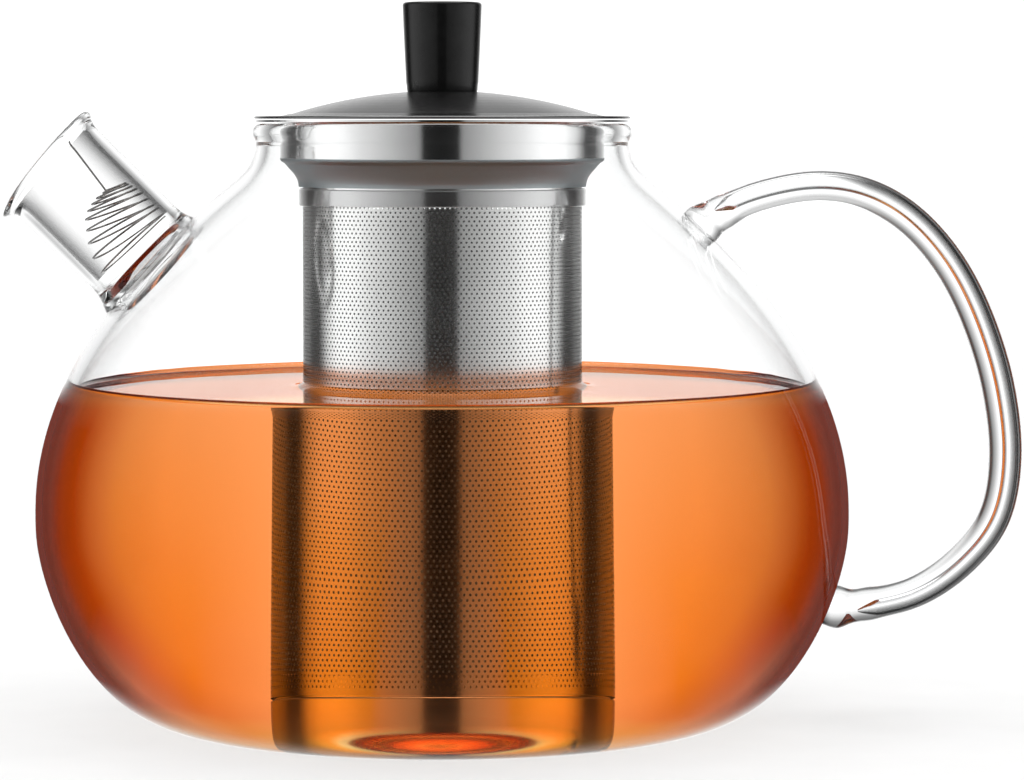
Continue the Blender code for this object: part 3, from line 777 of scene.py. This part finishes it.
tail = [(x0 + (-76.8 - x0) * t, y0 * (1 - t) - 0.3 * math.sin(math.pi * t), z0 + (119.6 - z0) * t)
        for t in (0.05, 0.12, 0.2, 0.3, 0.42, 0.55, 0.7, 0.85, 1.0)]
bend = catmull([coil[-3], coil[-1], tail[0], tail[1]], 4)[5:-1]
wire = sweep("filter_coil", [*coil, *bend, *tail[1:]], [0.2] * (len(coil) + len(bend) + len(tail) - 1), wire_mat,
             sides=10)
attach(wire, "filter")
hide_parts("spout_filter")

# ------------------------------------------------------------------ hidden fixings keep their CAD shapes
for node, mat, slot in (
        ("knob_insert", steel_material("turned_brass", (0.74, 0.55, 0.26), 0.3, (900, 900, 900), 0.04), "insert_brass"),
        ("knob_screw", steel_material("screw_plain_steel", (0.66, 0.66, 0.67), 0.3, (700, 700, 700), 0.04), "fixing_steel"),
        ("knob_washer", steel_material("washer_plain_steel", (0.70, 0.70, 0.70), 0.34, (600, 600, 600), 0.04),
         "fixing_steel")):
    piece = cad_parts[node]
    piece.data.materials.clear()
    piece.data.materials.append(mat)

# ------------------------------------------------------------------ floor
floor_mat, g, out = new_material("pale_floor")
p = g.node("ShaderNodeBsdfPrincipled")
grain = g.noise(g.mapping((1, 1, 1)), 40.0, 2.0)
g.put(p.inputs["Base Color"], g.ramp(grain, [(0.3, (0.84, 0.84, 0.84)), (0.7, (0.86, 0.86, 0.86))]))
p.inputs["Roughness"].default_value = 0.8
p.inputs["Specular IOR Level"].default_value = 0.1
g.put(out.inputs["Surface"], p.outputs[0])
ground = bpy.data.meshes.new("floor")
ground.from_pydata([(-60, -60, -0.0002), (60, -60, -0.0002), (60, 60, -0.0002), (-60, 60, -0.0002)], [], [(0, 1, 2, 3)])
floor = bpy.data.objects.new("floor", ground)
bpy.context.scene.collection.objects.link(floor)
ground.materials.append(floor_mat)
floor.visible_glossy = False
floor.visible_transmission = False

# ------------------------------------------------------------------ studio light: a white sweep behind, dark cards, side boxes
world = bpy.data.worlds.new("studio")
bpy.context.scene.world = world
world.use_nodes = True
g = Graph(world.node_tree)
out = g.node("ShaderNodeOutputWorld")
bg = g.node("ShaderNodeBackground")
coord = g.node("ShaderNodeTexCoord")
xyz = g.node("ShaderNodeSeparateXYZ")
g.put(xyz.inputs[0], coord.outputs["Generated"])
az = g.math("ABSOLUTE", g.math("ARCTAN2", xyz.outputs["X"], xyz.outputs["Y"]))
az = g.math("DIVIDE", az, math.pi)
el = g.math("DIVIDE", g.math("ARCSINE", xyz.outputs["Z"]), math.pi / 2)
S = 3.0  # ramp colours go up to 1, so they are scaled by this


def deg(stops):
    return [(a / 180.0, v / S) for a, v in stops]


low = g.ramp(az, deg([(0, 1.22), (14, 1.22), (19, 1.02), (23, 0.82), (27, 0.64), (31, 0.49), (35, 0.40), (40, 0.26),
                      (45, 0.10), (52, 0.06), (60, 0.07), (66, 0.40), (72, 0.85), (84, 1.30), (98, 1.34), (109, 1.22),
                      (122, 0.94), (134, 0.76), (146, 0.58), (158, 0.42), (165, 0.33), (168, 0.02), (180, 0.01)]))
mid = g.ramp(az, deg([(0, 0.66), (18, 0.62), (28, 0.42), (40, 0.22), (60, 0.20), (75, 0.45), (110, 0.50), (150, 0.25),
                      (180, 0.10)]))
up = g.ramp(el, [(0.0, 0.0), (0.12, 0.0), (0.28, 1.0), (1.0, 1.0)])
over = g.ramp(el, [(0.0, 0.0), (0.56, 0.0), (0.68, 1.0), (1.0, 1.0)])
sky = g.mix(up, low, mid)
sky = g.mix(over, sky, (3.3 / S, 3.3 / S, 3.3 / S, 1.0))
zenith = g.ramp(el, [(0.0, 0.0), (0.80, 0.0), (0.90, 1.0), (1.0, 1.0)])
sky = g.mix(zenith, sky, (1.1 / S, 1.1 / S, 1.1 / S, 1.0))
down = g.math("MULTIPLY", el, -1.0)
table = g.ramp(down, [(0.0, 0.0), (0.24, 0.0), (0.36, 1.0), (1.0, 1.0)])
nadir = g.ramp(down, [(0.0, 0.95 / S), (0.44, 0.95 / S), (0.58, 0.22 / S), (1.0, 0.16 / S)])
sky = g.mix(table, sky, nadir)
g.put(bg.inputs["Color"], sky)
bg.inputs["Strength"].default_value = S
g.put(out.inputs["Surface"], bg.outputs[0])

# ------------------------------------------------------------------ camera
cam_data = bpy.data.cameras.new("camera")
cam = bpy.data.objects.new("camera", cam_data)
bpy.context.scene.collection.objects.link(cam)
cam_data.sensor_width = 36.0
cam_data.lens = 140.625
cam_data.clip_start, cam_data.clip_end = 0.05, 300.0
cam.location = (0.01425, -0.820, 0.1225)
cam.rotation_euler = (math.pi / 2 - math.atan(265.0 / 4000.0), 0.0, 0.0)
bpy.context.scene.camera = cam

scene = bpy.context.scene
scene.view_settings.view_transform = "Standard"
scene.view_settings.look = "None"
scene.cycles.max_bounces = 24
scene.cycles.transmission_bounces = 24
scene.cycles.transparent_max_bounces = 24
scene.cycles.glossy_bounces = 10
